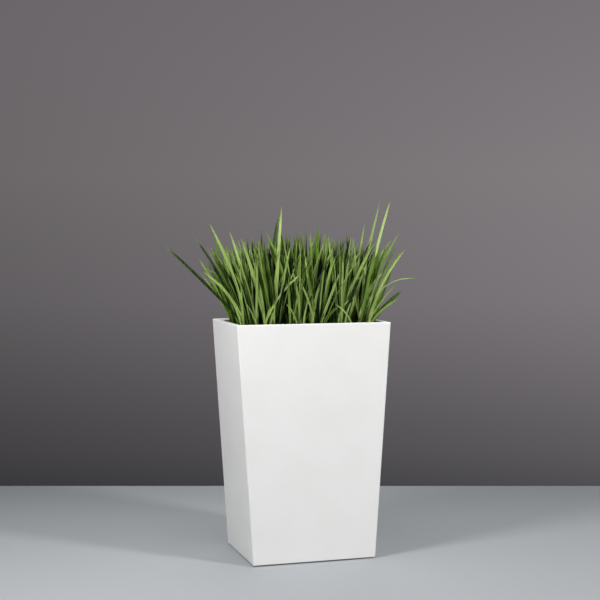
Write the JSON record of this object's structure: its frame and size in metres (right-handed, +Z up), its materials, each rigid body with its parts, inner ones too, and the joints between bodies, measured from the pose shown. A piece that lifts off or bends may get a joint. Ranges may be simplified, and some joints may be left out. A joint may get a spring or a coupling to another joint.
{
  "type": "floor planter",
  "caption": "Tall tapered floor planter with a thickened rim, rubber feet, a drained lift-out false bottom and a liner planted with upright grass tufts.",
  "frame": {"origin": "on the floor, under the middle of the planter", "axes": "+Z up, +X to the right of the broad front face, +Y to the back"},
  "size_m": [0.68, 0.472, 0.9246],
  "materials": {
    "white_gelcoat": "satin white gelcoat over glass-fibre laminate",
    "black_rubber": "matt moulded rubber",
    "raw_laminate": "unpainted glass-fibre laminate",
    "black_liner": "vacuum-formed black plastic",
    "potting_soil": "dark bark and peat mix",
    "grass_green": "satin green blades"
  },
  "bodies": {
    "planter": {"planter_shell": "white_gelcoat", "foot_front_left": "black_rubber", "foot_front_right": "black_rubber", "foot_back_left": "black_rubber", "foot_back_right": "black_rubber", "cleat_left_front": "raw_laminate", "cleat_left_back": "raw_laminate", "cleat_right_front": "raw_laminate", "cleat_right_back": "raw_laminate"},
    "plug": {"drain_plug": "black_rubber"},
    "shelf": {"false_bottom": "raw_laminate"},
    "planting": {"liner": "black_liner", "potting_soil": "potting_soil", "grass_tuft_01": "grass_green", "grass_tuft_02": "grass_green", "grass_tuft_03": "grass_green", "grass_tuft_04": "grass_green", "grass_tuft_05": "grass_green", "grass_tuft_06": "grass_green", "grass_tuft_07": "grass_green", "grass_tuft_08": "grass_green", "grass_tuft_09": "grass_green", "grass_tuft_10": "grass_green", "grass_tuft_11": "grass_green", "grass_tuft_12": "grass_green", "grass_tuft_13": "grass_green", "grass_tuft_14": "grass_green", "grass_tuft_15": "grass_green", "grass_tuft_16": "grass_green", "grass_tuft_17": "grass_green", "grass_tuft_18": "grass_green", "grass_tuft_19": "grass_green", "grass_tuft_20": "grass_green", "grass_tuft_21": "grass_green", "grass_tuft_22": "grass_green", "grass_tuft_23": "grass_green", "grass_tuft_24": "grass_green"}
  },
  "joints": [
    {"name": "plug_pull", "type": "slide", "parent": "planter", "child": "plug", "axis": [0, 0, 1], "range_m": [0, 0.03]},
    {"name": "shelf_lift", "type": "slide", "parent": "planter", "child": "shelf", "axis": [0, 0, 1], "range_m": [0, 0.3]},
    {"name": "planting_lift", "type": "slide", "parent": "shelf", "child": "planting", "axis": [0, 0, 1], "range_m": [0, 0.3]}
  ]
}
